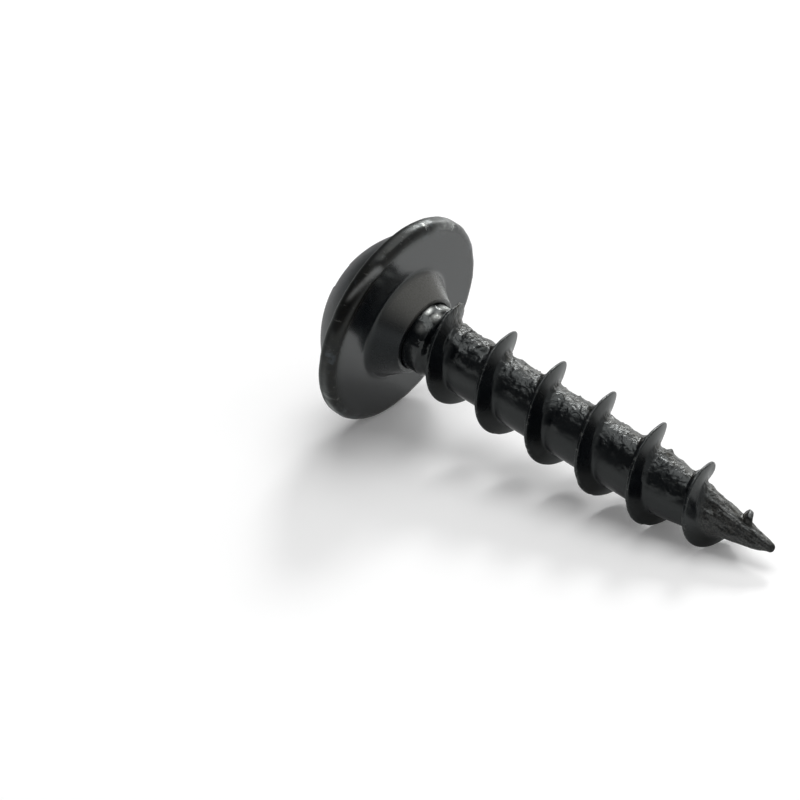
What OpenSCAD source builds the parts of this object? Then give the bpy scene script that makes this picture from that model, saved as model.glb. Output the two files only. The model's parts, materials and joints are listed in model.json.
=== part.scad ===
// Washer head screw with a cross recess, a coarse right-hand thread and a gimlet point.
// It is one piece of cold-formed steel and lies on its washer rim and its thread.
// Sizes are in millimetres. X runs from the head to the point and +Z is up.

/* [Head] */
// Outer diameter of the washer
washer_d = 9.7; // [8.6:0.1:14]
// Thickness of the washer at its rim
washer_t = 0.88; // [0.7:0.02:1.6]
// Rounding of both edges of the washer's rim
rim_r = 0.34; // [0.1:0.01:0.34]
// Radius of the groove between the dome and the washer
groove_r = 0.08; // [0.04:0.01:0.12]
// Diameter of the dome where it meets the washer
dome_d = 8.2; // [7:0.1:8.6]
// Height of the dome above the washer
dome_h = 2.4; // [2:0.05:3]

/* [Drive recess] */
// Width of the cross at the surface of the dome, from the end of one wing to the opposite one
recess_d = 5.2; // [3.6:0.1:6]
// Thickness of a wing
wing_w = 1.14; // [0.7:0.02:1.5]
// Depth of the wings below the top of the dome
wing_depth = 2.4; // [1.8:0.1:2.4]
// Width of the cross at the bottom of its wings
wing_floor_d = 2.7; // [1.8:0.1:3.2]
// Distance between opposite slanted walls in the corners of the cross, at the dome
recess_core_w = 3.3; // [2.2:0.1:3.5]
// Distance between the same walls at the bottom of the core
recess_core_floor_w = 1.7; // [1:0.1:2]
// Depth of the core below the top of the dome
recess_core_depth = 2.52; // [2.5:0.01:2.7]
// Depth of the cone below the core
recess_cone_h = 0.3; // [0.1:0.05:0.4]
// Turn of the cross about the axis of the screw
recess_turn = 41; // [0:1:90]

/* [Boss and neck] */
// Diameter of the conical boss where it leaves the washer
boss_d = 5.2; // [4.2:0.1:6.4]
// Diameter of the boss at its small end
boss_end_d = 3.6; // [3.3:0.1:4]
// Height of the boss
boss_h = 1.14; // [0.6:0.02:1.2]
// Radius of the hollow where the boss meets the washer
boss_foot_r = 0.3; // [0.05:0.05:0.5]
// Rounding of the edge at the small end of the boss
boss_edge_r = 0.1; // [0.05:0.01:0.14]
// Diameter of the plain neck
neck_d = 3.08; // [2.6:0.02:3.2]
// Distance from the washer to the end of the neck
neck_end = 1.95; // [1.5:0.05:3]
// Length of the cone from the neck down to the core of the thread
neck_fade = 0.45; // [0.2:0.05:1]

/* [Thread] */
// Length from the underside of the washer to the point
length = 20; // [17:0.5:36]
// Outer diameter of the thread
thread_d = 4.18; // [3.8:0.02:5]
// Diameter of the core between the turns
core_d = 2.38; // [1.8:0.02:2.5]
// Distance from one turn to the next
pitch = 2.71; // [2.2:0.01:3.4]
// Width of the crest
crest_w = 0.12; // [0.06:0.02:0.2]
// Slope of the flank that faces the head
head_flank = 14; // [10:1:30]
// Slope of the flank that faces the point
point_flank = 17; // [10:1:30]
// Width and height of the hollow where a flank meets the core
foot_r = 0.24; // [0.05:0.01:0.3]
// Distance from the washer to the middle of the ridge where it begins
thread_start = 0.9; // [0.8:0.05:1.4]
// Length over which the crest slowly falls towards the tip
runout_len = 8.34; // [5:0.02:10]
// Distance from the tip to the end of the thread
thread_end_gap = 1.25; // [0.8:0.05:2]
// Slope at which the ridge sinks into the core at its end
end_slope = 28; // [20:1:60]

/* [Point] */
// Length of the tapered core
point_len = 6; // [4:0.5:9]
// Diameter of the blunt tip
tip_d = 0.34; // [0.1:0.02:0.4]
// How far the tapered core bulges at the middle of its length
point_bulge = 0.07; // [0:0.01:0.1]

/* [Hidden] */

washer_r = washer_d / 2;
dome_r = dome_d / 2;
dome_sphere_r = (dome_r * dome_r + dome_h * dome_h) / (2 * dome_h);
boss_r = boss_d / 2;
boss_end_r = boss_end_d / 2;
boss_slope = atan2(boss_h, boss_r - boss_end_r);
// distance from a corner of the boss to the start of its rounding
foot_cut = boss_foot_r * tan(boss_slope / 2);
edge_cut = boss_edge_r * tan(boss_slope / 2);
head_h = washer_t + dome_h;
thread_r = thread_d / 2;
core_r = core_d / 2;
tip_r = tip_d / 2;
// how far one solid reaches into the next
lap = 0.2;

// steps of the helix in one turn
turn_steps = 48;
step_angle = 360 / turn_steps;
// the crest's edges are broken by this much
edge_w = 0.02;
// place of the middle of a hollow, as shares of its width and height from the flank's foot
hollow_mid = [0.35, 0.25];
// axial run of a flank from the middle of the ridge to its foot, for a ridge of height h
function flank_run(h, flank) = crest_w / 2 + edge_w + h * tan(flank) + foot_r;
// the line between two turns keeps this far from the foot of each
gap_clearance = 0.05;
ridge_h_max = thread_r - core_r;
gap_before = pitch - flank_run(ridge_h_max, point_flank) - gap_clearance;
gap_before_first = flank_run(ridge_h_max, head_flank) + gap_clearance;
// angles over which the ridge rises out of the neck
rise_from = 30;
rise_to = 140;
cone_end = length - tip_r;
taper_start = length - point_len;
runout_start = length - runout_len;
thread_end = length - thread_end_gap;
ridge_steps = floor(turn_steps * ((cone_end + gap_before - thread_start) / pitch - 1));

function limited(t) = min(1, max(0, t));
function eased(t) = limited(t) * limited(t) * (3 - 2 * limited(t));
function between(a, b, t) = a + (b - a) * t;

// radius of the core at a distance from the washer
function core_at(z) =
    let (t = limited((z - taper_start) / (cone_end - taper_start)))
    between(core_r, tip_r, t) + point_bulge * 4 * t * (1 - t);

// Outer radius of the thread. It falls like a cubic that would end at the tip,
// and near its own end the ridge sinks into the core at an even slope.
function crest_at(z) =
    let (t = limited((z - runout_start) / runout_len))
    let (end_h = max(0, thread_end - z) * tan(end_slope))
    max(core_at(z), min(thread_r * (1 - pow(t, 3)), core_at(z) + end_h));

function ridge_z(i) = thread_start + pitch * i / turn_steps;
function ridge_h(i) =
    (crest_at(ridge_z(i)) - core_at(ridge_z(i)))
    * eased((i * step_angle - rise_from) / (rise_to - rise_from));
function gap_z(i) = ridge_z(i) - between(gap_before_first, gap_before, limited(i / turn_steps));

// The screw lies on its rim and on one of the turns that pass below the axis.
// This is the lean of the axis if the turn number n carries it.
function lean_on(n) =
    let (z = thread_start + n * pitch)
    let (run = z + rim_r)
    let (drop = washer_r - rim_r - crest_at(z))
    atan2(drop, run) + asin(rim_r / sqrt(run * run + drop * drop));

tilt = min([for (n = [1:floor((thread_end - thread_start) / pitch)]) lean_on(n)]);
axis_height = (washer_r - rim_r) * cos(tilt) + rim_r * (1 - sin(tilt));
// reach of the dome behind the washer's underside and of the point before it
back_reach = (head_h - dome_sphere_r) * cos(tilt) + dome_sphere_r;
front_reach = length * cos(tilt);
centre_shift = (back_reach - front_reach) / 2;

function on_shank(i, r, z) = [r * cos(i * step_angle), r * sin(i * step_angle), z];
function core_point(i, z) = on_shank(i, core_at(z), z);
function gap_point(i) = core_point(i, gap_z(i));

// half a ridge as distances from its middle and heights above the core, from the foot to the crest
function half_ridge(h, flank) =
    let (hollow = min(foot_r, h / 2))
    let (foot = flank_run(h, flank))
    [
        [foot, 0],
        [foot - foot_r * (1 - hollow_mid[0]), hollow * hollow_mid[1]],
        [crest_w / 2 + edge_w + (h - hollow) * tan(flank), hollow],
        [crest_w / 2, h]
    ];

// the ridge at one step, from its foot on the head's side to its foot on the point's side
function ridge_points(i) =
    let (z = ridge_z(i))
    let (h = ridge_h(i))
    let (before = half_ridge(h, head_flank))
    let (after = half_ridge(h, point_flank))
    [
        for (p = before) on_shank(i, core_at(z - p[0]) + p[1], z - p[0]),
        for (j = [len(after) - 1:-1:0])
            on_shank(i, core_at(z + after[j][0]) + after[j][1], z + after[j][0])
    ];

// two triangles for four corners given clockwise
function four(a, b, c, d) = [[a, b, c], [a, c, d]];

// Threaded shank: a skin that follows the helix, one profile per step.
module threaded_shank() {
    ridge_count = len(ridge_points(0));
    gaps = [for (i = [0:ridge_steps + turn_steps]) gap_point(i)];
    ridges = [for (i = [0:ridge_steps]) each ridge_points(i)];
    ends = [[0, 0, gap_z(turn_steps / 2)], [0, 0, length]];
    first_ridge = len(gaps);
    first_end = first_ridge + len(ridges);
    profiles = [
        for (i = [0:ridge_steps]) [
            i,
            for (j = [0:ridge_count - 1]) first_ridge + i * ridge_count + j,
            i + turn_steps
        ]
    ];
    skin = [
        for (i = [0:ridge_steps - 1])
            for (j = [0:ridge_count])
                each four(
                    profiles[i][j], profiles[i][j + 1],
                    profiles[i + 1][j + 1], profiles[i + 1][j]
                )
    ];
    first_profile = profiles[0];
    last_profile = profiles[ridge_steps];
    start_cap = concat(
        [for (i = [0:turn_steps - 1]) [first_end, i, i + 1]],
        [for (j = [0:ridge_count]) [first_end, first_profile[j + 1], first_profile[j]]]
    );
    end_cap = concat(
        [for (i = [ridge_steps:ridge_steps + turn_steps - 1]) [first_end + 1, i + 1, i]],
        [for (j = [0:ridge_count]) [first_end + 1, last_profile[j], last_profile[j + 1]]]
    );
    polyhedron(points = concat(gaps, ridges, ends), faces = concat(skin, start_cap, end_cap));
}

// Half section of the washer with its two rounded edges.
module washer_section() {
    translate([0, -washer_t]) square([washer_r - rim_r, washer_t]);
    translate([0, rim_r - washer_t]) square([washer_r, washer_t - 2 * rim_r]);
    translate([washer_r - rim_r, -rim_r]) circle(r = rim_r);
    translate([washer_r - rim_r, rim_r - washer_t]) circle(r = rim_r);
}

// Half section of the dome.
module dome_section() {
    intersection() {
        translate([0, dome_sphere_r - head_h]) circle(r = dome_sphere_r);
        translate([0, -head_h - lap]) square([dome_r, dome_h + 2 * lap]);
    }
}

// Half section of the boss, the plain neck and the cone that ends it.
module neck_section() {
    polygon([
        [0, -lap],
        [boss_r, -lap],
        [boss_r, 0],
        [boss_end_r + edge_cut * cos(boss_slope), boss_h - edge_cut * sin(boss_slope)],
        [boss_end_r - edge_cut, boss_h],
        [neck_d / 2, boss_h],
        [neck_d / 2, neck_end],
        [core_r - lap / 2, neck_end + neck_fade],
        [0, neck_end + neck_fade]
    ]);
    translate([boss_end_r - edge_cut, boss_h - boss_edge_r]) circle(r = boss_edge_r);
}

// Half section of the hollow that leads from the washer into the boss.
module boss_foot_section() {
    difference() {
        polygon([
            [boss_r - lap, -lap],
            [boss_r + foot_cut, -lap],
            [boss_r + foot_cut, 0],
            [boss_r - foot_cut * cos(boss_slope), foot_cut * sin(boss_slope)]
        ]);
        translate([boss_r + foot_cut, boss_foot_r]) circle(r = boss_foot_r);
    }
}

// How far the surface of the dome lies below its top, at the ends of a slot.
function dome_sag(w) = dome_sphere_r - sqrt(dome_sphere_r * dome_sphere_r - w * w / 4);

// One pair of opposite walls of the recess, closing in from the dome to the floor.
module tapered_slot(dome_w, floor_w, depth, thickness, above) {
    spread = (dome_w - floor_w) / (depth - dome_sag(dome_w));
    top_w = floor_w + spread * (depth + above);
    rotate([90, 0, 0])
        linear_extrude(thickness, center = true)
            polygon([
                [-floor_w / 2, depth - head_h],
                [-top_w / 2, -above - head_h],
                [top_w / 2, -above - head_h],
                [floor_w / 2, depth - head_h]
            ]);
}

module wing_pair() {
    tapered_slot(recess_d, wing_floor_d, wing_depth, wing_w, lap);
}

module core_walls() {
    tapered_slot(recess_core_w, recess_core_floor_w, recess_core_depth, washer_d, 2 * lap);
}

// Cross recess: two crossed wings, a slanted square core and a cone at the bottom.
module recess() {
    rotate(recess_turn) {
        wing_pair();
        rotate(90) wing_pair();
        intersection() {
            rotate(45) core_walls();
            rotate(135) core_walls();
        }
    }
    translate([0, 0, recess_core_depth - head_h - lap])
        cylinder(d1 = recess_core_floor_w, d2 = 0, h = recess_cone_h + lap, $fn = 48);
}

// The whole screw on its own axis, the point up and the washer's underside at zero.
module screw_on_axis() {
    difference() {
        rotate_extrude($fn = 120) {
            difference() {
                union() {
                    washer_section($fn = 48);
                    dome_section($fn = 240);
                }
                translate([dome_r, -washer_t]) circle(r = groove_r, $fn = 24);
            }
            neck_section($fn = 32);
            boss_foot_section($fn = 64);
        }
        recess();
    }
    threaded_shank();
}

// The screw as it comes to rest, on its rim and its thread.
module screw() {
    color([0.13, 0.14, 0.15])
        translate([centre_shift, 0, axis_height])
            rotate([0, 90 + tilt, 0])
                screw_on_axis();
}

screw();
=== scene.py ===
"""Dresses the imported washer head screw: the head with its cross recess, and the threaded shank.

Every size is in metres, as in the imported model. Both pieces are worked out in the screw's own
axes, where the underside of the washer is at zero and z runs to the point, and are then laid down
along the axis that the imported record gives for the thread.
"""

import json
import math
from types import SimpleNamespace

import bpy
import numpy as np
from bpy.props import FloatProperty, FloatVectorProperty, PointerProperty
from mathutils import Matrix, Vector


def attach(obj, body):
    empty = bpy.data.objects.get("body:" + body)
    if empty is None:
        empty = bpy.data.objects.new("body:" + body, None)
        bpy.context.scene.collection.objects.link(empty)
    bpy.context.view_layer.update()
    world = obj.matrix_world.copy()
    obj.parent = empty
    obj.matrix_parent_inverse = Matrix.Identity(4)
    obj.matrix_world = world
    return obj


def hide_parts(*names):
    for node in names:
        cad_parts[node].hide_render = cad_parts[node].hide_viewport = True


bl_info = {
    "name": "Washer head screw",
    "version": (1, 0, 0),
    "blender": (4, 5, 0),
    "location": "3D View > Sidebar > Screw",
    "description": "Builds the coated head and the threaded shank of a washer head screw",
    "category": "Add Mesh",
}

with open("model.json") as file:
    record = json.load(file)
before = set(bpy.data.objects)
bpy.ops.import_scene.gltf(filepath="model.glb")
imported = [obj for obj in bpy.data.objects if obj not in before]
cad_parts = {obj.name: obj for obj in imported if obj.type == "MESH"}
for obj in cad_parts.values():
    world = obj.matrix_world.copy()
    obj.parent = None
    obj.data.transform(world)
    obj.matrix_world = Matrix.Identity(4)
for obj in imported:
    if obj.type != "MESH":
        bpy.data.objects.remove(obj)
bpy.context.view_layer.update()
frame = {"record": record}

MM = 0.001
# points closer than this become one
WELD = 1e-9
QUARTER = math.pi / 2
EIGHTH = math.pi / 4

# steps of the helix in one turn, and steps along the core from one turn to the next
TURN_STEPS = 120
GAP_STEPS = 30

# What follows is the wear of this one screw and the glints painted on its neck, in millimetres
# along its axis and degrees round it.
# Degrees start straight down and pass the +Y side, so 180 is straight up.

# painted glints on the neck: turn, place, width in degrees, length and strength
GLINTS = (
    (190, 1.27, 7, 0.11, 1.2),
    (192, 1.74, 7, 0.15, 1.6),
    (158, 1.58, 13, 0.20, 1.6),
    (222, 1.60, 7, 0.20, 0.22),
)
# stretches of the thread that are low: place of the ridge, length and loss of height
LOW_TURNS = ((15.5, 0.42, 0.17), (1.88, 0.22, 0.24))
# where the last turn ends, where the burr after it starts and ends, and how high the burr is
LAST_TURN_END, BURR_START, BURR_END, BURR_H = 17.7, 18.17, 18.50, 0.33
# the flake before the sixth turn: turn and place
FLAKE_TURN, FLAKE_AT = 144, 13.80

# the side from which most of the soft light comes
FAR_SIDE = (0.75, 0.50, 0.43)
# lamps: place, width and height in metres, and the setting that holds the power
LAMPS = {
    "top_lamp": ((-0.04, 0.12, 0.55), 0.45, 0.45, "top_power"),
    "back_lamp": ((-0.10, 0.48, 0.18), 0.22, 0.34, "back_power"),
    "glint_lamp": ((-0.20, 0.45, 0.35), 0.12, 0.12, "glint_power"),
}


# Settings


def number(name, description, value, **kind):
    """A number with a unit or another kind of display."""
    return FloatProperty(name=name, description=description, default=value, **kind)


def size(name, description, millimetres):
    """A length of the screw."""
    return number(name, description, millimetres * MM, min=0.0, precision=5, unit="LENGTH")


def coordinate(name, description, millimetres):
    """A coordinate on the floor."""
    return number(name, description, millimetres * MM, unit="LENGTH")


def angle(name, description, degrees):
    """A slope or a turn."""
    return number(name, description, math.radians(degrees), subtype="ANGLE")


def share(name, description, value):
    """A plain number from 0 to 1."""
    return number(name, description, value, min=0.0, max=1.0, subtype="FACTOR")


def power(name, description, watts):
    """The power of a lamp."""
    return number(name, description, watts, unit="POWER")


def colour(name, description, value):
    """A colour of a finish."""
    return FloatVectorProperty(
        name=name, description=description, default=value, size=3, min=0, max=1, subtype="COLOR"
    )


class HeadSizes(bpy.types.PropertyGroup):
    """Sizes of the head, the recess and the boss."""

    washer_d: size("Washer diameter", "Outer diameter of the washer", 9.7)
    washer_t: size("Washer thickness", "Thickness of the washer at its rim", 0.88)
    rim_r: size("Rim rounding", "Rounding of both edges of the rim", 0.34)
    groove_r: size("Groove", "Radius of the groove between the dome and the washer", 0.08)
    dome_d: size("Dome diameter", "Diameter of the dome at the washer", 8.2)
    dome_h: size("Dome height", "Height of the dome above the washer", 2.4)
    recess_d: size("Cross width", "Width of the cross at the dome", 5.2)
    wing_w: size("Wing thickness", "Thickness of a wing of the cross", 1.14)
    wing_depth: size("Wing depth", "Depth of the wings below the top of the dome", 2.4)
    wing_floor_d: size("Wing floor", "Width of the cross at the bottom of its wings", 2.7)
    core_w: size("Core width", "Distance between opposite slanted walls at the dome", 3.3)
    core_floor_w: size("Core floor", "Distance between the same walls at the bottom", 1.7)
    core_depth: size("Core depth", "Depth of the core below the top of the dome", 2.52)
    cone_h: size("Bottom cone", "Depth of the cone below the core", 0.3)
    cone_d: size("Cone width", "Diameter of the cone where it starts", 1.02)
    recess_turn: angle("Cross turn", "Turn of the cross about the axis", 41)
    recess_edge: size("Recess edge", "Rounding of the recess at the dome", 0.045)
    recess_corner: size("Recess corners", "Rounding of the corners of the cross", 0.05)
    boss_d: size("Boss diameter", "Diameter of the boss where it leaves the washer", 5.2)
    boss_end_d: size("Boss end", "Diameter of the boss at its small end", 3.6)
    boss_h: size("Boss height", "Height of the boss", 1.14)
    boss_foot_r: size("Boss foot", "Radius of the hollow between washer and boss", 0.3)
    boss_edge_r: size("Boss edge", "Rounding of the small end of the boss", 0.1)
    crevice_w: size("Crevice width", "Width of the dark line round the neck", 0.06)
    crevice_h: size("Crevice depth", "Depth of the dark line round the neck", 0.2)


class ThreadSizes(bpy.types.PropertyGroup):
    """Sizes of the neck, the thread and the point."""

    neck_d: size("Neck diameter", "Diameter of the plain neck", 3.08)
    neck_end: size("Neck end", "Distance from the washer to the end of the neck", 1.95)
    neck_fade: size("Neck cone", "Length of the cone from the neck to the core", 0.45)
    length: size("Length", "Length from the washer to the point", 20)
    thread_d: size("Thread diameter", "Outer diameter of the thread", 4.18)
    core_d: size("Core diameter", "Diameter of the core between the turns", 2.38)
    pitch: size("Pitch", "Distance from one turn to the next", 2.71)
    crest_w: size("Crest width", "Width of the crest", 0.12)
    edge_w: size("Crest edge", "Width of the broken edge of the crest", 0.02)
    head_flank: angle("Head flank", "Slope of the flank that faces the head", 14)
    point_flank: angle("Point flank", "Slope of the flank that faces the point", 17)
    foot_r: size("Foot hollow", "Width of the hollow between flank and core", 0.24)
    thread_start: size("Thread start", "Distance from the washer to the first ridge", 0.9)
    rise_from: angle("Rise from", "Turn at which the ridge leaves the neck", 30)
    rise_to: angle("Rise to", "Turn at which the ridge has its full height", 140)
    runout_len: size("Run-out", "Length over which the crest falls to the tip", 8.34)
    thread_end_gap: size("Thread end", "Distance from the tip to the end of the thread", 1.25)
    end_slope: angle("End slope", "Slope at which the ridge sinks into the core", 28)
    point_len: size("Point length", "Length of the tapered core", 6)
    tip_d: size("Tip", "Diameter of the blunt tip", 0.34)
    point_bulge: size("Point bulge", "How far the tapered core bulges", 0.07)
    lump_h: size("Lump height", "Height of the lumps in the coating of the core", 0.045)


class CoatFinish(bpy.types.PropertyGroup):
    """Colours and gloss of the black coating."""

    black: colour("Black", "The coating where it is smooth", (0.0022, 0.0030, 0.0046))
    haze: colour("Haze", "The paler patches of the coating on the head", (0.0075, 0.0090, 0.0105))
    rim_brown: colour("Rim brown", "The thin coating on the rim", (0.010, 0.0092, 0.0078))
    flank_grey: colour("Flank grey", "The dull coating on the flanks", (0.0045, 0.0044, 0.0042))
    # the film also paints a sheen on top of the boss
    film: colour("Film", "The thin dust on top of the boss", (0.090, 0.087, 0.080))
    # the dust also gives a painted highlight tint to the upper edge of the core
    dust: colour("Dust", "The brownish crumbs on top of the core", (0.26, 0.215, 0.135))
    # bare steel also paints the glints on the neck and the highlights on the rim and the boss
    bare: colour("Bare steel", "Steel that shows where the coating is worn", (0.405, 0.415, 0.40))
    head_roughness: share("Underside roughness", "Roughness of the underside of the washer", 0.17)
    satin_roughness: share("Satin roughness", "Roughness of the dome and the rim", 0.34)
    neck_roughness: share("Neck roughness", "Roughness of the oily neck", 0.11)
    core_roughness: share("Core roughness", "Roughness of the core between the ridges", 0.29)
    flank_roughness: share("Flank roughness", "Roughness of the dull flanks", 0.39)


class StageSettings(bpy.types.PropertyGroup):
    """Floor, light and camera."""

    floor_colour: colour("Floor", "Colour of the floor", (0.93, 0.93, 0.93))
    floor_glow: share("Floor glow", "Paleness added to the floor that is seen", 0.10)
    sky_far: share("Far sky", "Strength of the soft light behind and above the screw", 0.68)
    sky_near: share("Near sky", "Strength of the soft light beside the camera", 0.10)
    top_power: power("Top lamp", "Power of the soft lamp above the screw", 1.6)
    back_power: power("Back lamp", "Power of the tall lamp behind the screw", 0.5)
    glint_power: power("Glint lamp", "Power of the small lamp that makes glints", 1.3)
    azimuth: angle("Azimuth", "Turn of the camera from the -Y side towards +X", 39.27)
    elevation: angle("Elevation", "Height of the camera above the horizon", 29.95)
    distance: size("Distance", "Distance of the camera from what it looks at", 209.39)
    look_x: coordinate("Look X", "Point on the floor that the camera looks at", -9.3035)
    look_y: coordinate("Look Y", "Point on the floor that the camera looks at", 1.0638)
    lens: number("Lens", "Focal length on a sensor 36 mm wide", 214.96, unit="CAMERA")


# Shared maths


def eased(t):
    """0 below 0, 1 above 1 and the cubic 3 t^2 - 2 t^3 between."""
    t = np.clip(t, 0.0, 1.0)
    return t * t * (3 - 2 * t)


def bump(x, centre, width):
    """A bell of height 1 round the centre."""
    return np.exp(-(((x - centre) / width) ** 2))


def soft_max(a, b, k):
    """The greater of two values, with the corner between them rounded over about k."""
    return (a + b + np.sqrt((a - b) ** 2 + k * k)) / 2


def soft_min(a, b, k):
    """The lesser of two values, with the corner between them rounded over about k."""
    return (a + b - np.sqrt((a - b) ** 2 + k * k)) / 2


def ripples(points, length, seed, waves=36):
    """Smooth random heights of about -1 to 1: plane waves of random directions, with wavelengths
    from 0.6 to 1.7 times the given length, added up."""
    rng = np.random.default_rng(seed)
    way = rng.normal(size=(waves, 3))
    way /= np.linalg.norm(way, axis=1)[:, None] * rng.uniform(0.6, 1.7, waves)[:, None] * length
    phase = rng.uniform(0, 2 * math.pi, waves)
    return np.sin(2 * math.pi * points @ way.T + phase).sum(axis=-1) * math.sqrt(1 / waves)


def curve(start, control, end, t):
    """Points on the quadratic curve that leaves the start towards the control point."""
    return start * (1 - t) ** 2 + control * 2 * t * (1 - t) + end * t**2


def spread(a, b, count, last=True):
    """Evenly spaced values after a and up to b, without a itself."""
    values = np.linspace(a, b, count + 1)[1:]
    return values if last else values[:-1]


def around_axis(r, way, z):
    """Points at distances r from the axis, turned by way round it, at heights z along it."""
    return np.stack([r * np.cos(way), r * np.sin(way), z], axis=-1)


def lay_down(points):
    """Moves points from the screw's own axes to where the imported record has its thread."""
    thread = next(m for m in frame["record"]["mounts"] if m["name"] == "thread")
    along = np.array(thread["axis"], float)
    along /= np.linalg.norm(along)
    across = np.array([0.0, 1.0, 0.0])
    down = np.cross(across, along)
    length = bpy.context.scene.screw_thread.length
    origin = np.array(thread["pos_m"], float) - along * length / 2
    return origin + points @ np.stack([down, across, along])


def round_grid(rows, columns):
    """Quads of a grid whose columns go once round and meet."""
    row, column = np.meshgrid(np.arange(rows - 1), np.arange(columns), indexing="ij")
    beside = (column + 1) % columns
    quads = [row * columns + column, row * columns + beside]
    quads += [(row + 1) * columns + beside, (row + 1) * columns + column]
    return np.stack(quads, axis=-1).reshape(-1, 4)


def helix_grid(steps, columns):
    """Quads of a grid that winds along a helix: the last column of a step meets the first of the
    step one turn on."""
    step, column = np.meshgrid(np.arange(steps - 1), np.arange(columns), indexing="ij")
    one_turn_on = (step + TURN_STEPS) * columns
    beside = np.where(column == columns - 1, one_turn_on, step * columns + column + 1)
    quads = [step * columns + column, (step + 1) * columns + column, beside + columns, beside]
    quads = np.stack(quads, axis=-1).reshape(-1, 4)
    return quads[quads.max(axis=1) < steps * columns]


def make_piece(name, points, quads, marks):
    """Puts points and quads into a mesh object. Points at one place become one, so a quad may lose
    a side and become a triangle, or lose more and go. Marks are named values for each point."""
    _, first, place = np.unique(
        np.round(points / WELD).astype(np.int64), axis=0, return_index=True, return_inverse=True
    )
    quads = place.reshape(-1)[quads]
    lost = quads == np.roll(quads, -1, axis=1)
    folded = (quads[:, 0] == quads[:, 2]) | (quads[:, 1] == quads[:, 3])
    whole = quads[~lost.any(axis=1) & ~folded]
    three = (lost.sum(axis=1) == 1) & ~folded
    threes = quads[three][~lost[three]].reshape(-1, 3)
    corners = np.concatenate([whole.ravel(), threes.ravel()]).astype(np.int32)
    sides = np.repeat([4, 3], [len(whole), len(threes)])
    starts = (np.cumsum(sides) - sides).astype(np.int32)
    mesh = bpy.data.meshes.new(name)
    mesh.vertices.add(len(first))
    mesh.vertices.foreach_set("co", lay_down(points[first]).astype(np.float32).ravel())
    mesh.loops.add(len(corners))
    mesh.loops.foreach_set("vertex_index", corners)
    mesh.polygons.add(len(starts))
    mesh.polygons.foreach_set("loop_start", starts)
    mesh.update(calc_edges=True)
    if mesh.validate():
        raise RuntimeError(name + ": the mesh was not valid")
    mesh.shade_smooth()
    for mark, values in marks.items():
        attribute = mesh.attributes.new(mark, "FLOAT", "POINT")
        attribute.data.foreach_set("value", values.ravel()[first].astype(np.float32))
    piece = bpy.data.objects.new(name, mesh)
    bpy.context.scene.collection.objects.link(piece)
    return piece


def hand_over(piece, material):
    """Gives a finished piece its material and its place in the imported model."""
    piece.data.materials.append(material)
    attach(piece, "root")
    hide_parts("screw")


# Head


def dome_radius(s):
    """Radius of the sphere of the dome, from its width and height."""
    half = s.dome_d / 2
    return (half * half + s.dome_h * s.dome_h) / (2 * s.dome_h)


def dome_sag(reach, s):
    """Depth of the dome's surface below its top at a distance from the axis: a circle's arc."""
    radius = dome_radius(s)
    return radius - np.sqrt(radius * radius - reach * reach)


def square_reach(fold, depth, s):
    """Distance from the axis to the slanted walls: their half width over the cosine of the angle
    from the diagonal."""
    slope = (s.core_w - s.core_floor_w) / (2 * (s.core_depth - dome_sag(s.core_w / 2, s)))
    return (s.core_floor_w / 2 + (s.core_depth - depth) * slope) / np.cos(EIGHTH - fold)


def recess_reach(fold, depth, s):
    """Distance from the axis to the wall of the cross. A ray leaves a wing through its end, at the
    wing's half width over the cosine, or through its side, at half its thickness over the sine,
    whichever is nearer. The recess reaches the farther of that and the slanted wall."""
    slope = (s.recess_d - s.wing_floor_d) / (2 * (s.wing_depth - dome_sag(s.recess_d / 2, s)))
    end = (s.wing_floor_d / 2 + (s.wing_depth - depth) * slope) / np.cos(fold)
    side = s.wing_w / (2 * np.sin(np.maximum(fold, 0.01)))
    wing = soft_min(end, side, s.recess_corner)
    return soft_max(wing, square_reach(fold, depth, s), s.recess_corner)


def cross_columns():
    """Directions round the axis, closest together where the corners of the cross are."""
    spans = ((0, 11.2, 10), (11.2, 19.5, 30), (19.5, 45, 18))
    part = np.concatenate([np.linspace(*span, endpoint=False) for span in spans])
    pair = np.concatenate([part, 90 - np.append(part[1:], 45)[::-1]])
    return np.radians(np.concatenate([pair + 90 * k for k in range(4)]))


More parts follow.
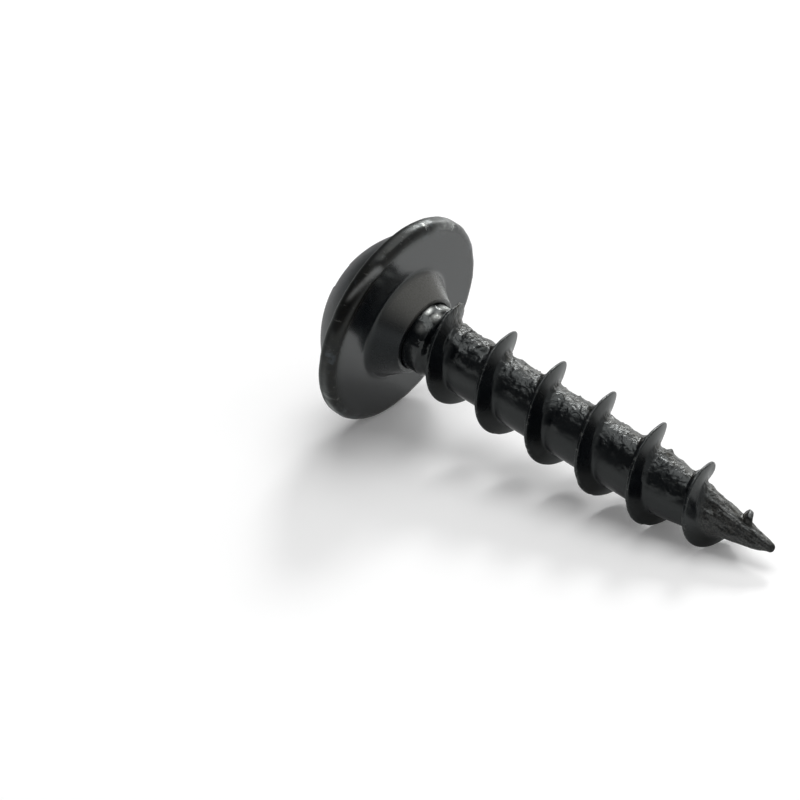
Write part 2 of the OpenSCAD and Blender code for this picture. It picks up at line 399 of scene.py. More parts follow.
def recess_rows(turn, s):
    """Distances and depths of the recess, one row of points after another from the middle of its
    bottom to the first point on the dome. The wall stops short of its edge, and a quadratic curve
    rounds the edge evenly all along the cross."""
    fold = np.abs((turn + EIGHTH) % QUARTER - EIGHTH)
    cone_r, core = s.cone_d / 2, square_reach(fold, s.core_depth, s)
    inner, outer = square_reach(fold, s.wing_depth, s), recess_reach(fold, s.wing_depth, s)

    def rows(reach, depth):
        """Distances and depths of some rows, for every direction."""
        return np.stack(np.broadcast_arrays(reach + 0 * fold, depth))

    # the cone, the floor of the core, its slanted walls and the floors of the wings
    t = np.linspace(0, 1, 6)[:, None]
    parts = [rows(cone_r * t, s.core_depth + s.cone_h * (1 - t))]
    parts += [rows(cone_r + (core - cone_r) * spread(0, 1, 5)[:, None], s.core_depth)]
    d = spread(s.core_depth, s.wing_depth, 3)[:, None]
    parts += [rows(square_reach(fold, d, s), d)]
    parts += [rows(inner + (outer - inner) * spread(0, 1, 6)[:, None], s.wing_depth)]

    # the wall, up to where it would meet the dome, which each round finds more closely
    top = s.wing_depth / 4 + 0 * fold
    for _ in range(60):
        top = dome_sag(recess_reach(fold, top, s), s)
    edge = recess_reach(fold, top, s)
    d = s.wing_depth + (top + s.recess_edge - s.wing_depth) * spread(0, 1, 26)[:, None]
    parts += [rows(recess_reach(fold, d, s), d)]

    # its rounded edge
    turned = (np.roll(turn, -1) - np.roll(turn, 1)) % (2 * math.pi)
    slant = (np.roll(edge, -1) - np.roll(edge, 1)) / turned
    beyond = edge + s.recess_edge * np.minimum(np.sqrt(1 + (slant / edge) ** 2), 5)
    low_reach, low_depth = parts[-1][:, -1]
    t = spread(0, 1, 5)[:, None]
    depth = curve(low_depth, top, dome_sag(beyond, s), t)
    parts += [rows(curve(low_reach, edge, beyond, t), depth)]
    reach, depth = np.concatenate(parts, axis=1)
    return reach, depth, edge


def arc(centre_r, centre_z, radius, start, end, count):
    """Points on a circle after its start angle, as distances from the axis and heights along it."""
    a = np.radians(spread(start, end, count))
    return np.stack([centre_r + radius * np.cos(a), centre_z + radius * np.sin(a)], axis=1)


def line(start, end, count):
    """Evenly spaced points after the start of a straight line and up to its end."""
    t = spread(0, 1, count)[:, None]
    return np.array(start) * (1 - t) + np.array(end) * t


def washer_profile(s, neck_r):
    """Half section of washer, boss and crevice, after the end of the dome, as arcs and straight
    lines, with the shares of wear, painted shade and satin finish at its points."""
    washer_r, dome_r = s.washer_d / 2, s.dome_d / 2
    boss_r, end_r, end_z = s.boss_d / 2, s.boss_end_d / 2, s.boss_h
    rim_r, flat_r, top = s.rim_r, washer_r - s.rim_r, -s.washer_t
    groove_r, groove_end = s.groove_r, dome_r + s.groove_r
    dome_edge = math.degrees(math.acos((dome_radius(s) - s.dome_h) / dome_radius(s)))
    slope = math.atan2(end_z, boss_r - end_r)
    tilt = math.degrees(slope)
    foot_r, edge_r = s.boss_foot_r, s.boss_edge_r
    foot_cut, edge_cut = foot_r * math.tan(slope / 2), edge_r * math.tan(slope / 2)
    foot_start, edge_end = boss_r + foot_cut, end_r - edge_cut
    cone_foot = (boss_r - foot_cut * math.cos(slope), foot_cut * math.sin(slope))
    cone_top = (end_r + edge_cut * math.cos(slope), end_z - edge_cut * math.sin(slope))
    gap_r, gap_z = neck_r + s.crevice_w, end_z - s.crevice_h
    # each stretch has its points and its shares of wear, painted shade and satin finish
    stretches = [
        # groove, top of the washer and rim
        (arc(dome_r, top, groove_r, 180 + dome_edge, 0, 10), 0.0, 0.9, 1.9),
        (line((groove_end, top), (flat_r, top), 6), 0.0, 0.6, 1.9),
        (arc(flat_r, top + rim_r, rim_r, -90, 0, 9), 0.15, 0.3, 1.5),
        (line((washer_r, top + rim_r), (washer_r, -rim_r), 3), 0.3, 0.0, 0.9),
        (arc(flat_r, -rim_r, rim_r, 0, 90, 9), 0.2, 0.0, 0.8),
        # underside and boss
        (line((flat_r, 0.0), (foot_start, 0.0), 15), 0.0, 0.0, 0.0),
        (arc(foot_start, foot_r, foot_r, -90, -90 - tilt, 7), 0.0, 0.1, 0.3),
        (line(cone_foot, cone_top, 13), 0.0, 0.0, 0.6),
        (arc(edge_end, end_z - edge_r, edge_r, 90 - tilt, 90, 6), 0.3, 0.0, 0.6),
        # crevice round the neck
        (line((edge_end, end_z), (gap_r, end_z), 3), 0.0, 0.4, 0.6),
        (line((gap_r, end_z), (gap_r, gap_z), 4), 0.0, 1.0, 0.6),
        (line((gap_r, gap_z), (0.0, gap_z), 4), 0.0, 1.0, 0.6),
    ]
    counts = [len(stretch[0]) for stretch in stretches]
    shares = (np.repeat([stretch[k] for stretch in stretches], counts) for k in (1, 2, 3))
    return np.concatenate([stretch[0] for stretch in stretches]), *shares


def wear_and_painted_light_marks(r, z, way, rim, s):
    """Worn places of the head and painted light on it, as products of bells and eased steps. The
    near side of the rim has one long scuff, which climbs by 0.31 mm in 20 degrees. From its upper
    left downwards the rim is dull, which is painted shade, and its top has a painted highlight. The
    boss has painted shade on its near side, a painted highlight on its far shoulder and, on top,
    dust with a painted sheen."""
    degrees = np.degrees(way) % 360
    outer = r > s.washer_d / 2 - s.rim_r
    boss = eased((s.boss_d / 2 + 0.1 * MM - r) / (0.3 * MM)) * (z > 0)
    track = z - (-0.41 + 0.0155 * (233 - degrees)) * MM
    ends = eased((degrees - 209) / 5) * eased((237 - degrees) / 6)
    scuff = rim * bump(track, 0, 0.10 * MM) * ends * outer
    # painted shade: from its upper left downwards the rim reflects less
    dull = rim * eased((degrees - 162) / 14) * (1 - eased((degrees - 300) / 30)) * (1 - scuff)
    # painted highlight at the top of the rim
    polished = rim * bump(degrees, 156, 8) * outer
    return {
        "scuff": scuff,
        # painted shade on the near side of the boss as well
        "dull": dull + boss * bump(degrees, 265, 35),
        # painted highlight on the far shoulder of the boss as well
        "polished": polished + 0.9 * boss * bump(degrees, 135, 9),
        # dust with a painted sheen on top of the boss
        "dust": boss * eased(-0.6 - 1.6 * np.cos(way)),
    }


def head_surface(s, neck_r):
    """Points, quads and marks of the head. Each direction round the axis has one profile, from the
    bottom of the recess over the dome, the rim and the underside to the crevice round the neck."""
    turn = cross_columns()
    reach, depth, edge = recess_rows(turn, s)
    profile, *below = washer_profile(s, neck_r)
    head_h = s.washer_t + s.dome_h
    dome_end = s.dome_d / 2 - s.groove_r / 2
    dome_reach = reach[-1] + (dome_end - reach[-1]) * spread(0, 1, 44)[:, None]
    under_r, under_z = (np.repeat(profile[:, k : k + 1], len(turn), axis=1) for k in (0, 1))
    r = np.concatenate([reach, dome_reach, under_r])
    z = np.concatenate([depth - head_h, dome_sag(dome_reach, s) - head_h, under_z])
    way = turn + s.recess_turn
    points = around_axis(r, way, z)

    # the edge of the recess is worn, and all of the recess but its top eight rows gets painted
    # shade
    row = np.arange(len(r))[:, None]
    on_head = row < len(reach) + len(dome_reach)
    from_edge = np.abs(r - edge) * (z < -s.washer_t)
    wear = np.where(on_head, np.exp(-from_edge / (0.09 * MM)), 0.0)
    dark = np.where(row < len(reach) - 8, 1.0, 0.0) * np.ones_like(r)
    satin = np.full_like(r, 1.9)
    for mark, share_below in zip((wear, dark, satin), below):
        mark[-len(profile) :] = share_below[:, None]

    # the coating of the rim is a little uneven, and the rim has shallow dents
    rim = eased((r - s.dome_d / 2) / (0.5 * MM)) * (z <= 0)
    dents = np.clip(ripples(points, 1.6 * MM, 5) - 0.9, 0, None)
    sink = rim * (0.03 * MM * dents + 0.006 * MM * (1 + ripples(points, 0.5 * MM, 6)))
    points[..., :2] *= (1 - sink / np.maximum(r, MM))[..., None]
    wear += 0.5 * rim * dents

    dome = on_head * (1 - np.clip(dark, 0, 1)) * eased((s.dome_d / 2 - r) / (0.3 * MM))
    marks = {"wear": wear, "dark": dark, "rim": rim, "satin": satin, "dome": dome}
    marks |= wear_and_painted_light_marks(r, z, way, rim, s)
    return points.reshape(-1, 3), round_grid(*r.shape), marks


# Shank


def core_radius(z, s):
    """Radius of the core: even, then a cone to the tip that bulges like a parabola."""
    end = s.length - s.tip_d / 2
    t = np.clip((z - s.length + s.point_len) / (end - s.length + s.point_len), 0, 1)
    return s.core_d / 2 + (s.tip_d - s.core_d) / 2 * t + s.point_bulge * 4 * t * (1 - t)


def ridge_height(z, step, s):
    """Height of the ridge above the core where its middle is at z. The crest falls like a cubic
    towards the tip, and the ridge rises out of the neck over part of the first turn."""
    t = np.clip((z - s.length + s.runout_len) / s.runout_len, 0, 1)
    core = core_radius(z, s)
    end_h = np.maximum(0, s.length - s.thread_end_gap - z) * math.tan(s.end_slope)
    crest = np.maximum(core, np.minimum(s.thread_d / 2 * (1 - t**3), core + end_h))
    turned = step * 2 * math.pi / TURN_STEPS
    return (crest - core) * eased((turned - s.rise_from) / (s.rise_to - s.rise_from))


def half_ridge(z, h, flank, s):
    """One side of the ridge for each place z and height h, from its foot to the middle of its
    crest: a quadratic curve for the hollow at the foot, a straight flank, and a quadratic curve
    over the crest. The burr at the end of the thread has a wider crest and a smaller hollow.
    Returns distances from the middle and heights above the core."""
    h = h[:, None]
    half = s.crest_w / 2 + 0.07 * MM * eased((z[:, None] - 18.0 * MM) / (0.2 * MM))
    foot_r = s.foot_r * (1 - 0.8 * eased((z[:, None] - 17.6 * MM) / (0.5 * MM)))
    hollow = np.minimum(foot_r, h / 2)
    rounding = np.minimum(0.05 * MM, h / 3)
    slope = math.tan(flank)
    foot = half + s.edge_w + h * slope
    t = np.linspace(0, 1, 8)[None, :]
    hollow_x = curve(foot + foot_r, foot, foot - hollow * slope, t)
    hollow_y = curve(h * 0, h * 0, hollow, t)
    t = spread(0, 1, 7)[None, :]
    top_x, top_y = half + rounding * slope, h - rounding
    flank_x = (foot - hollow * slope) * (1 - t) + top_x * t
    flank_y = hollow * (1 - t) + top_y * t
    t = spread(0, 1, 4)[None, :]
    crest_x = curve(top_x, half, 0.0 * half, t)
    crest_y = curve(top_y, h, h, t)
    x = np.concatenate([hollow_x, flank_x, crest_x], axis=1)
    y = np.concatenate([hollow_y, flank_y, crest_y], axis=1)
    return x, y


def worn_height(z, h):
    """Height of the ridge as it has come out. Two stretches are low, each by a bell. The last turn
    ends within 0.3 mm, and a small burr comes after it."""
    for place, length, loss in LOW_TURNS:
        h = h - loss * MM * bump(z, place * MM, length * MM) * (h > 0.3 * MM)
    h = h * (1 - eased((z - LAST_TURN_END * MM) / (0.3 * MM)))
    end = 0.09 * MM
    burr = eased((z - BURR_START * MM) / end) * (1 - eased((z - BURR_END * MM) / end))
    return h + BURR_H * MM * burr


def glints(around, z):
    """Painted glints on the neck: a sum of bells."""
    total = 0
    for turn, place, wide, long, level in GLINTS:
        bell = bump(around, math.radians(turn), math.radians(wide))
        total = total + level * (bell * bump(z, place * MM, long * MM))
    return np.clip(total, 0, 1.4)


def helix_points(s):
    """The shank as it was rolled. Each step of the helix has one profile across the ridge and on to
    the foot of the next turn. A step has the place and the height of its ridge. A point has its
    offset from the middle of the ridge, its rise above the core, its place z, its turn round the
    axis and its distance r from it, which is the core's radius plus the rise."""
    # the helix runs on past both ends by more than a turn, for close_ends to take in
    step = np.arange(-int(1.4 * TURN_STEPS), int(TURN_STEPS * (s.length / s.pitch + 1.2)))
    ridge_z = s.thread_start + s.pitch * step / TURN_STEPS
    next_z = ridge_z + s.pitch
    height = worn_height(ridge_z, ridge_height(ridge_z, step, s))
    next_height = worn_height(next_z, ridge_height(next_z, step + TURN_STEPS, s))
    before_x, before_y = half_ridge(ridge_z, height, s.head_flank, s)
    after_x, after_y = half_ridge(ridge_z, height, s.point_flank, s)
    next_x, _ = half_ridge(next_z, next_height, s.head_flank, s)
    t = spread(0, 1, GAP_STEPS, last=False)[None, :]
    gap_x = after_x[:, :1] * (1 - t) + (s.pitch - next_x[:, :1]) * t

    p = SimpleNamespace(ridge_z=ridge_z[:, None], height=height[:, None])
    p.offset = np.concatenate([-before_x, after_x[:, -2::-1], gap_x], axis=1)
    p.rise = np.concatenate([before_y, after_y[:, -2::-1], gap_x * 0], axis=1)
    p.z = p.ridge_z + p.offset
    p.way = (2 * math.pi * step / TURN_STEPS)[:, None] + 0 * p.z
    p.around = p.way % (2 * math.pi)
    p.r = core_radius(p.z, s) + p.rise
    return p


def join_neck(p, s):
    """Joins the neck to the core: the greater of two radii. The neck ends in a cone."""
    neck_r = s.neck_d / 2
    neck_slope = (neck_r - s.core_d / 2 + 0.1 * MM) / s.neck_fade
    neck = neck_r - np.maximum(0, p.z - s.neck_end) * neck_slope
    p.on_neck = eased((neck - core_radius(p.z, s) - p.rise) / (0.05 * MM))
    p.r = soft_max(p.r, neck, 0.04 * MM)
    p.place = around_axis(p.r, p.way, p.z)


def lay_coat(p, s):
    """Raises the lumps of the coating, which are sums of ripples. They lie on the core and the foot
    of the flanks, are highest on the upper side and larger near the head, and bury the first turn
    beside the neck."""
    # how far a point is on the first turn, on the core and on the upper side
    first = 1 - eased((p.ridge_z - 2.1 * MM) / (0.5 * MM))
    first = first * eased((p.height - 0.5 * MM) / (0.3 * MM))
    p.on_core = np.maximum(1 - eased(p.rise / (0.35 * MM)), first * (1 - p.on_neck))
    coarse = ripples(p.place, 0.80 * MM, 11)
    upward = 0.08 + 0.92 * eased((np.cos(p.way - 3.1) + 0.12 * coarse - 0.20) / 0.5)
    upward = np.maximum(upward, 0.6 * eased((p.z - 16.4 * MM) / MM))
    p.buried = first * upward
    p.coat = p.on_core * upward * (1 - 0.5 * p.on_neck)

    # lumps and crumbs, and softer swellings on the part of the neck that is seen
    fine = ripples(p.place, 0.32 * MM, 12)
    crumbs = np.clip(ripples(p.place, 0.24 * MM, 13) - 0.9, 0, None)
    clumps = 0.6 * coarse + 0.6 * fine * (0.6 + 0.4 * coarse) + 1.1 * crumbs
    facing = bump(p.around, math.radians(190), 0.9)
    swellings = p.on_neck * facing * (1.2 * coarse - 0.5 * fine)
    clumps = clumps * (1 - p.on_neck * (1 - facing)) + swellings
    p.taper = np.clip((s.length - p.z) / (0.5 * MM), 0, 1)
    point = eased((p.z - 17.0 * MM) / MM)
    foot = bump(p.rise, 0.10 * MM, 0.10 * MM) * upward
    p.r = p.r + s.lump_h * clumps * p.coat * p.taper * (1 - 0.4 * point)
    p.r = p.r + 0.05 * MM * foot * p.taper

    # clods, which end 7.5 mm from the washer
    clods = np.clip(ripples(p.place, 0.55 * MM, 16), -1, 1.6)
    near_head = eased((7.5 * MM - p.z) / (4.5 * MM)) * p.coat * (1 - p.on_neck)
    p.r = p.r + (0.075 + 0.05 * clods) * MM * near_head


def add_flaws(p, s):
    """Adds what has gone wrong on this screw: a swell under the core, a flake before the sixth
    turn, a heavy lower side and lengthwise lines on the point, and nicks in the crests. The lines
    are ripples drawn out along the axis."""
    below = bump(p.around, math.radians(318), 0.75)
    swell = 0.25 * MM * below * (1 - eased((p.z - 16.6 * MM) / (0.8 * MM)))
    r = soft_max(p.r, core_radius(p.z, s) + swell, 0.06 * MM)
    flake = bump(p.z, FLAKE_AT * MM, 0.13 * MM)
    flake = flake * bump(p.around, math.radians(FLAKE_TURN), 0.12)
    drawn_out = p.place * (1, 1, 0.12)
    lines = ripples(drawn_out, 0.34 * MM, 15) + ripples(drawn_out, 0.19 * MM, 17)
    lines = lines * p.on_core * p.taper * eased((p.z - 15.8 * MM) / MM)
    heavy_end = 1 - eased((p.z - 19.2 * MM) / (0.6 * MM))
    heavy = below * eased((p.z - 16.8 * MM) / MM) * heavy_end
    nicks = np.clip(ripples(p.place, 0.9 * MM, 14) - 1.0, 0, None) * eased(p.rise / (0.7 * MM))
    r = r + 0.15 * MM * flake + 0.09 * MM * heavy + 0.028 * MM * lines * (1 - 0.8 * below)
    p.r = r - 0.05 * MM * nicks


def lean_blades(p):
    """Leans the top of each blade towards the point on its far side and raises it there. The first
    turn leans less, the last blade more, and the burr leans back."""
    tall = np.clip(p.rise / np.maximum(p.height, 0.2 * MM), 0, 1) ** 1.3
    first = 1 - eased((p.ridge_z - 2.2 * MM) / (0.5 * MM))
    lean = 0.11 * bump(p.around, math.radians(158), 0.56) * (1 - 0.6 * first)
    lean = lean + 0.18 * bump(p.around, math.radians(112), 0.6) * bump(p.ridge_z, 15.2 * MM, MM)
    lean = lean - 0.05 * eased((p.ridge_z - LAST_TURN_END * MM) / (0.3 * MM))
    raised = bump(p.around, math.radians(141), 0.4)
    p.z = p.z + MM * lean * tall * (1 - p.on_neck)
    p.r = p.r + 0.09 * MM * tall * raised * (1 - p.on_neck) * (1 - first)


def close_ends(p, boss_h, s):
    """Closes the shank on the axis: with a flat disc inside the boss and half a ball at the tip."""
    start_z, start_run = boss_h - 0.3 * MM, 0.3 * MM
    tip_r = s.tip_d / 2
    past = np.clip((p.z - s.length + tip_r) / tip_r, 0, 1)
    p.r = p.r * np.clip((p.z - start_z + start_run) / start_run, 0, 1)
    p.r = p.r * np.sqrt(1 - past**2)
    p.z = np.clip(p.z, start_z, s.length)


def shank_surface(s, boss_h):
    """Points, quads and marks of the shank."""
    p = helix_points(s)
    join_neck(p, s)
    lay_coat(p, s)
    add_flaws(p, s)
    lean_blades(p)
    close_ends(p, boss_h, s)

    off_neck = 1 - p.on_neck
    crest = eased((p.rise - (p.height - 0.09 * MM)) / (0.09 * MM)) * (p.height > 0.2 * MM)
    point_side = np.sign(p.offset) * eased((p.rise - 0.12 * MM) / (0.2 * MM))
    # the upper edge of the core as seen, where dust gets a painted highlight tint
    top = eased((np.cos(p.way - math.radians(148)) - 0.66) / 0.30)
    # painted shade at the very tip, where it rests on the floor
    tip_painted_shade = bump(p.z, s.length - 0.1 * MM, 0.2 * MM)
    marks = {
        "wear": crest * off_neck,
        "neck": p.on_neck,
        "flank": np.clip(point_side, 0, 1) * off_neck * (1 - 0.4 * crest) * (1 - 0.35 * p.buried),
        # the near side of the flanks, which gets painted shade and more gloss
        "slick": bump(p.around, math.radians(248), 0.74),
        "coat": p.coat,
        "tip": eased((p.z - 16.2 * MM) / (0.8 * MM)) * p.on_core,
        # painted glints on the neck
        "shine": glints(p.around, p.z) * p.on_neck,
        "dusty": top * p.coat * off_neck,
        # painted shade in the crevice at the boss and, half as strong, at the tip
        "dark": bump(p.z, boss_h, 0.07 * MM) + 0.5 * tip_painted_shade,
    }
    points = around_axis(p.r, p.way, p.z)
    return points.reshape(-1, 3), helix_grid(*p.z.shape), marks


# Materials


class Paint:
    """A socket of a material's node tree. Arithmetic on it adds Math nodes to the tree."""

    # the colour sockets of a Mix node, whose names it uses more than once
    MIX_FIRST, MIX_SECOND, MIX_RESULT = 6, 7, 2

    def __init__(self, tree, socket=None):
        self.tree = tree
        self.socket = socket

    def node(self, kind, settings=None, values=None, output=0):
        """Adds a node of this type. Its settings are set first, and then the values or links of its
        sockets, by name or number."""
        node = self.tree.nodes.new("ShaderNode" + kind)
        for name, value in (settings or {}).items():
            setattr(node, name, value)
        for name, value in (values or {}).items():
            if isinstance(value, Paint):
                self.tree.links.new(value.socket, node.inputs[name])
            else:
                node.inputs[name].default_value = value
        return Paint(self.tree, node.outputs[output])

    def show(self, surface, output="OutputMaterial"):
        """Joins a finished shader to the output of the tree."""
        end = self.tree.nodes.new("ShaderNode" + output)
        self.tree.links.new(surface.socket, end.inputs["Surface"])

    def maths(self, operation, *values):
        """One Math node on these values."""
        return self.node("Math", {"operation": operation}, dict(enumerate(values)))

    def __add__(self, other):
        return self.maths("ADD", self, other)

    def __sub__(self, other):
        return self.maths("SUBTRACT", self, other)

    def __rsub__(self, other):
        return self.maths("SUBTRACT", other, self)

    def __mul__(self, other):
        return self.maths("MULTIPLY", self, other)

    __radd__ = __add__
    __rmul__ = __mul__

    def step(self, low, high):
        """0 below low, 1 above high and eased between."""
        values = {"Value": self, "From Min": low, "From Max": high}
        return self.node("MapRange", {"interpolation_type": "SMOOTHSTEP", "clamp": True}, values)

    def blend(self, first, second):
        """The first colour where this mask is 0 and the second where it is 1."""
        values = {"Factor": self, self.MIX_FIRST: first, self.MIX_SECOND: second}
        return self.node("Mix", {"data_type": "RGBA"}, values, self.MIX_RESULT)

    def under(self, *coats):
        """This colour with coats painted over it in turn. A coat has a mask, a colour and a level
        that makes the colour darker or paler."""
        tone = self
        for mask, shade, level in coats:
            tone = mask.blend(tone, rgba(shade, level))
        return tone

    def marks(self, *names):
        """Values that the mesh keeps for each point."""
        return [self.node("Attribute", {"attribute_name": name}, None, "Fac") for name in names]

    def grain(self, per_mm, detail=3.0, roughness=0.5, distortion=0.0, stretch=(1, 1, 1)):
        """Noise with this many patches to a millimetre, fixed to the piece."""
        place = self.node("TexCoord", output="Object")
        scale = tuple(k * per_mm / MM for k in stretch)
        place = self.node("VectorMath", {"operation": "MULTIPLY"}, {0: place, 1: scale})
        values = {"Vector": place, "Scale": 1.0, "Detail": detail, "Roughness": roughness}
        values["Distortion"] = distortion
        return self.node("TexNoise", {"noise_dimensions": "3D"}, values)


def rgba(tone, level=1.0):
    """A colour with full alpha, made darker or paler by the level."""
    return (*(min(1.0, c * level) for c in tone), 1.0)


def new_material(name):
    """An empty material and the wrapper of its tree."""
    material = bpy.data.materials.new(name)
    material.use_nodes = True
    material.node_tree.nodes.clear()
    return material, Paint(material.node_tree)


def coat_output(paint, base, roughness, metallic, height, bump_mm, ior):
    """Joins the coating's colour, roughness, bare steel and relief to the surface."""
    relief = paint.node("Bump", None, {"Strength": 1.0, "Distance": bump_mm * MM, "Height": height})
    values = {
        "Base Color": base,
        "Roughness": roughness,
        "Metallic": metallic,
        "Normal": relief,
        "IOR": ior,
        "Specular Tint": (0.94, 1.0, 0.985, 1),
    }
    paint.show(paint.node("BsdfPrincipled", None, values))


def head_material(finish):
    """Satin black coating with hazy patches. Over it come a thin brownish coat on the rim, pale
    clouds on the dome, dust with a painted sheen on top of the boss, smudges and one long scuff on
    the rim, short scuffs and nicks, specks of bare steel on the worn edges, painted highlights on
    the rim's top and the boss's far shoulder, and painted shade in the recess, the groove and the
    crevice.
    Dull stretches reflect less, which is painted shade on the rim from its upper left downwards and
    on the boss's near side."""
    material, paint = new_material("satin_black_coat")
    wear, dark, rim, satin, dust = paint.marks("wear", "dark", "rim", "satin", "dust")
    dome, scuff, dull, polished = paint.marks("dome", "scuff", "dull", "polished")
    patches = paint.grain(0.42, detail=4, roughness=0.6)
    cloud = paint.grain(1.7, detail=5, roughness=0.65, distortion=0.6)
    fine = paint.grain(11.0, detail=4, roughness=0.7)
    specks = paint.grain(6.5, detail=2, roughness=0.8)
    scratches = paint.grain(3.2, detail=4, roughness=0.7, stretch=(0.35, 1.0, 1.6))

    haze = patches.step(0.40, 0.66) * 0.7 + cloud.step(0.45, 0.75) * 0.3
    brown = rim * (0.45 + cloud.step(0.35, 0.65) * 0.55)
    cloudy = dome * (patches * 0.5 + cloud * 0.5).step(0.44, 0.62)
    smudge = rim * (cloud * 0.55 + patches * 0.45).step(0.52, 0.63)
    scuff = scuff * (0.6 + cloud.step(0.40, 0.60) * 0.4)
    nicks = dome * (specks * 0.5 + cloud * 0.5).step(0.63, 0.67)
    short = rim * scratches.step(0.58, 0.72) + wear * scratches.step(0.60, 0.70) * 0.4
    scuffed = (short + nicks) * (1 - dark)
    bare = (wear * 0.34 + specks * 0.66).step(0.62, 0.68) * wear * (1 - dark)
    # painted highlights on the rim's top and the boss's far shoulder
    polished = polished * (0.5 + cloud.step(0.4, 0.6) * 0.5)
    tone = haze.blend(rgba(finish.black), rgba(finish.haze)).under(
        (brown, finish.rim_brown, 1),
        (cloudy * 0.7, finish.haze, 3.5),
        # dust with a painted sheen on top of the boss
        (dust, finish.film, 1),
        (smudge * 0.8, finish.haze, 5),
        (scuff, finish.film, 1.9),
        (scuff * 0.4, finish.haze, 12),
        (scuffed * 0.55, finish.bare, 0.35),
        (bare * 0.85, finish.bare, 1),
        # painted highlight
        (polished * 0.5, finish.bare, 0.8),
        # painted shade in the recess, the groove and the crevice
        (dark, finish.black, 0.35),
    )
    roughness = finish.head_roughness + satin * (finish.satin_roughness - finish.head_roughness)
    roughness = roughness + (patches - 0.5) * 0.10 + (fine - 0.5) * 0.05 + dark * 0.2
    # dull stretches reflect less, which is painted shade, and painted highlights shine like steel
    metal = bare * 0.7 + polished * 0.5 + dull * 0.55
    height = fine * 0.35 + cloud * 0.25 + scratches * rim * 0.8 + specks * wear * 0.6
    coat_output(paint, tone, roughness, metal, height, 0.006, ior=1.52)
    return material


def shank_material(finish):
    """Oily black coating with grey patches, glossy on the neck. Over it come dull grey on the
    flanks that face the point, golden dust with a painted highlight tint and pale crumbs on the
    core, painted glints on the neck, steel along the crests, pale streaks on the point, and
    painted shade in the crevice and at the tip. On their near side the flanks lose their grey and
    are glossier, which is painted shade."""
    material, paint = new_material("oily_black_coat")
    wear, flank, coat, dark, slick = paint.marks("wear", "flank", "coat", "dark", "slick")
    neck, dusty, shine, tip = paint.marks("neck", "dusty", "shine", "tip")
    patches = paint.grain(0.6, detail=3, roughness=0.6)
    lumps = paint.grain(2.7, detail=2, roughness=0.5, distortion=1.0)
    clods = paint.grain(5.5, detail=2, roughness=0.6, distortion=0.5)
    fine = paint.grain(12.0, detail=4, roughness=0.7)
    specks = paint.grain(7.0, detail=2, roughness=0.8)

    grey = patches.step(0.4, 0.7) * 0.6 + fine * 0.3
    # on the near side the flanks lose their dull grey and are glossier: painted shade
    gloss_and_painted_shade = flank * slick
    flank = flank - gloss_and_painted_shade * 0.85
    dull = flank * (0.55 + lumps.step(0.35, 0.6) * 0.45)
    core = coat * (1 - neck)
    crumbs = core * specks.step(0.56, 0.70)
    # golden dust with a painted highlight tint on the upper edge of the core
    golden_dust_and_highlight = dusty * (0.35 + lumps.step(0.4, 0.6) * 0.65)
    # painted glints, pale and partly like steel
    shine = shine * (0.55 + clods.step(0.38, 0.54) * 0.45)
    bare = wear * (specks * 0.6 + lumps * 0.4).step(0.53, 0.62)
    streaks = tip * (0.15 + fine.step(0.45, 0.60) * 0.5)
    tone = grey.blend(rgba(finish.black, 0.8), rgba(finish.haze, 0.9)).under(
        (dull, finish.flank_grey, 1),
        (golden_dust_and_highlight * 0.18, finish.dust, 0.35),
        (golden_dust_and_highlight * crumbs * 0.3, finish.dust, 0.8),
        (crumbs * 0.3, finish.film, 0.6),
        # painted glints
        (shine, finish.bare, 2.0),
        (bare * 0.5, finish.bare, 0.4),
        (streaks, finish.film, 0.85),
        # painted shade in the crevice and at the tip
        (dark, finish.black, 0.3),
    )
    roughness = finish.core_roughness + neck * (finish.neck_roughness - finish.core_roughness)
    roughness = roughness + flank * (finish.flank_roughness - finish.core_roughness) + dark * 0.3
    roughness = roughness + patches.step(0.5, 0.7) * 0.08 + crumbs * 0.15 + golden_dust_and_highlight * 0.06
    roughness = roughness + shine * 0.15 - gloss_and_painted_shade * 0.14
    metal = bare * 0.4 + shine * 0.45 + flank * 0.31 + core * 0.14
    height = (lumps + clods * 0.25 + fine * 0.06) * (0.05 + coat * 0.95) + specks * wear * 0.1
    coat_output(paint, tone, roughness, metal, height, 0.06, ior=1.43)
    return material


# Operators and panel


class HeadOperator(bpy.types.Operator):
    """Adds the domed washer head with its cross recess and its conical boss"""

    bl_idname = "mesh.screw_head_add"
    bl_label = "Screw head"

    def execute(self, context):
        """Makes the head and hands it over."""
        scene = context.scene
        surface = head_surface(scene.screw_head, scene.screw_thread.neck_d / 2)
        piece = make_piece("screw_head", *surface)
        hand_over(piece, head_material(scene.screw_finish))
        return {"FINISHED"}


class ShankOperator(bpy.types.Operator):
    """Adds the neck, the threaded shank and the point"""

    bl_idname = "mesh.screw_shank_add"
    bl_label = "Threaded shank"

    def execute(self, context):
        """Makes the shank and hands it over."""
        scene = context.scene
        surface = shank_surface(scene.screw_thread, scene.screw_head.boss_h)
        piece = make_piece("screw_shank", *surface)
        hand_over(piece, shank_material(scene.screw_finish))
        return {"FINISHED"}


def seen(paint):
    """1 for a ray from the camera, off a glossy surface or through glass, and 0 for the rest."""
    kinds = ("Is Camera Ray", "Is Glossy Ray", "Is Transmission Ray")
    rays = [paint.node("LightPath", output=kind) for kind in kinds]
    return rays[0].maths("MAXIMUM", rays[0], rays[1].maths("MAXIMUM", rays[1], rays[2]))


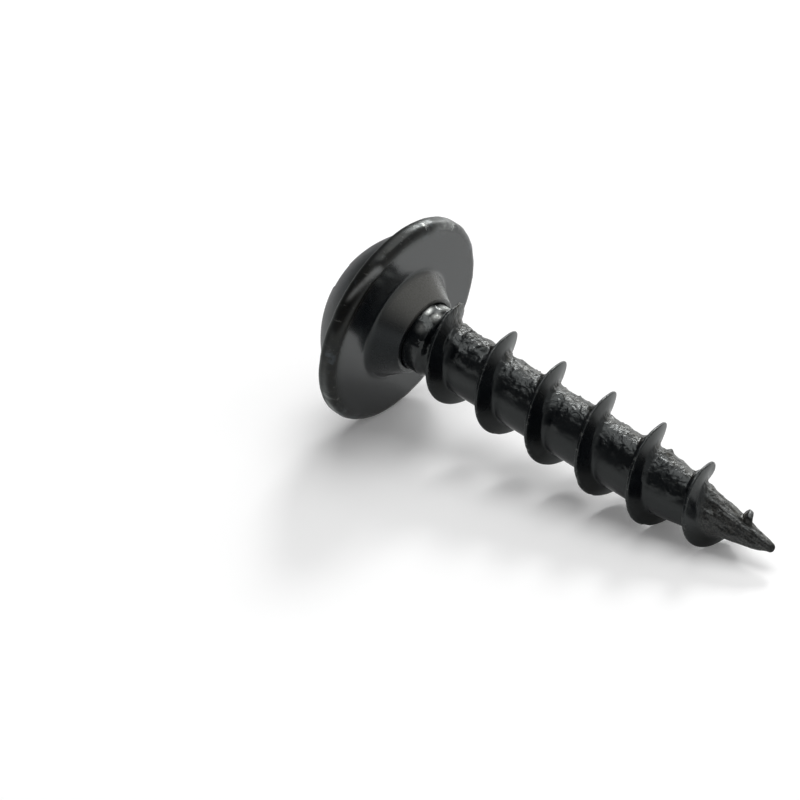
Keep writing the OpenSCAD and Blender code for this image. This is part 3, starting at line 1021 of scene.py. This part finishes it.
def add_floor(stage):
    """A wide pale floor at the height on which the screw lies. It is paler for the camera alone."""
    half = 2.0
    mesh = bpy.data.meshes.new("floor")
    corners = [(-half, -half, 0), (half, -half, 0), (half, half, 0), (-half, half, 0)]
    mesh.from_pydata(corners, [], [(0, 1, 2, 3)])
    floor = bpy.data.objects.new("floor", mesh)
    bpy.context.scene.collection.objects.link(floor)
    material, paint = new_material("pale_floor")
    tone = paint.grain(0.02, detail=2).step(0.2, 0.8)
    tone = tone.blend(rgba(stage.floor_colour), rgba(stage.floor_colour, 1.01))
    diffuse = paint.node("BsdfDiffuse", None, {"Color": tone})
    glow = paint.node("Emission", None, {"Strength": seen(paint) * stage.floor_glow})
    paint.show(paint.node("AddShader", None, {0: diffuse, 1: glow}))
    mesh.materials.append(material)


def add_world(stage):
    """Soft light that is strongest behind and above the screw and weakest beside the camera."""
    world = bpy.data.worlds.new("studio")
    world.use_nodes = True
    world.node_tree.nodes.clear()
    paint = Paint(world.node_tree)
    way = paint.node("TexCoord", output="Generated")
    far = paint.node("VectorMath", {"operation": "DOT_PRODUCT"}, {0: way, 1: FAR_SIDE}, "Value")
    strength = stage.sky_near + far.step(-0.1, 0.95) * (stage.sky_far - stage.sky_near)
    light = paint.node("Background", None, {"Color": (1, 1, 1, 1), "Strength": strength})
    paint.show(light, "OutputWorld")
    bpy.context.scene.world = world


def add_lamp(name, place, width, height, power):
    """A rectangular lamp at a place, turned to the screw."""
    data = bpy.data.lights.new(name, "AREA")
    data.shape = "RECTANGLE"
    data.size, data.size_y = width, height
    data.energy = power
    lamp = bpy.data.objects.new(name, data)
    lamp.location = place
    lamp.rotation_euler = Vector(place).to_track_quat("Z", "Y").to_euler()
    bpy.context.scene.collection.objects.link(lamp)


def add_camera(stage):
    """The camera at the photograph's angle."""
    data = bpy.data.cameras.new("camera")
    data.sensor_width = 36
    data.lens = stage.lens
    data.clip_start = 0.01
    look = Vector((stage.look_x, stage.look_y, 0))
    level = math.cos(stage.elevation)
    east, south = math.sin(stage.azimuth) * level, math.cos(stage.azimuth) * level
    back = Vector((east, -south, math.sin(stage.elevation)))
    camera = bpy.data.objects.new("camera", data)
    camera.location = look + back * stage.distance
    camera.rotation_euler = back.to_track_quat("Z", "Y").to_euler()
    bpy.context.scene.collection.objects.link(camera)
    bpy.context.scene.camera = camera


class StageOperator(bpy.types.Operator):
    """Adds the floor, the light and the camera"""

    bl_idname = "scene.screw_stage_add"
    bl_label = "Stage"

    def execute(self, context):
        """Makes everything that isn't part of the screw."""
        stage = context.scene.screw_stage
        add_floor(stage)
        add_world(stage)
        for name, (place, width, height, power_setting) in LAMPS.items():
            add_lamp(name, place, width, height, getattr(stage, power_setting))
        add_camera(stage)
        context.scene.view_settings.view_transform = "Standard"
        return {"FINISHED"}


class ScrewPanel(bpy.types.Panel):
    """Lists the screw's pieces in the sidebar"""

    bl_idname = "VIEW3D_PT_washer_head_screw"
    bl_label = "Washer head screw"
    bl_space_type = "VIEW_3D"
    bl_region_type = "UI"
    bl_category = "Screw"

    def draw(self, context):
        """One button for each operator, then the settings."""
        layout = self.layout
        for operator in OPERATORS:
            layout.operator(operator.bl_idname)
        for group in SETTINGS:
            settings = getattr(context.scene, group)
            box = layout.box()
            for name in settings.__annotations__:
                box.prop(settings, name)


SETTINGS = {
    "screw_head": HeadSizes,
    "screw_thread": ThreadSizes,
    "screw_finish": CoatFinish,
    "screw_stage": StageSettings,
}
OPERATORS = (StageOperator, HeadOperator, ShankOperator)


def register():
    """Registers every class and hangs the settings on the scene."""
    for group in SETTINGS.values():
        bpy.utils.register_class(group)
    for name, group in SETTINGS.items():
        setattr(bpy.types.Scene, name, PointerProperty(type=group))
    for operator in OPERATORS:
        bpy.utils.register_class(operator)
    bpy.utils.register_class(ScrewPanel)


def unregister():
    """Takes everything back in the opposite order."""
    bpy.utils.unregister_class(ScrewPanel)
    for operator in reversed(OPERATORS):
        bpy.utils.unregister_class(operator)
    for name, group in reversed(SETTINGS.items()):
        delattr(bpy.types.Scene, name)
        bpy.utils.unregister_class(group)


def main():
    """Builds the stage and the pieces."""
    register()
    bpy.ops.scene.screw_stage_add()
    bpy.ops.mesh.screw_head_add()
    bpy.ops.mesh.screw_shank_add()
    bpy.context.view_layer.update()


if __name__ == "__main__":
    main()
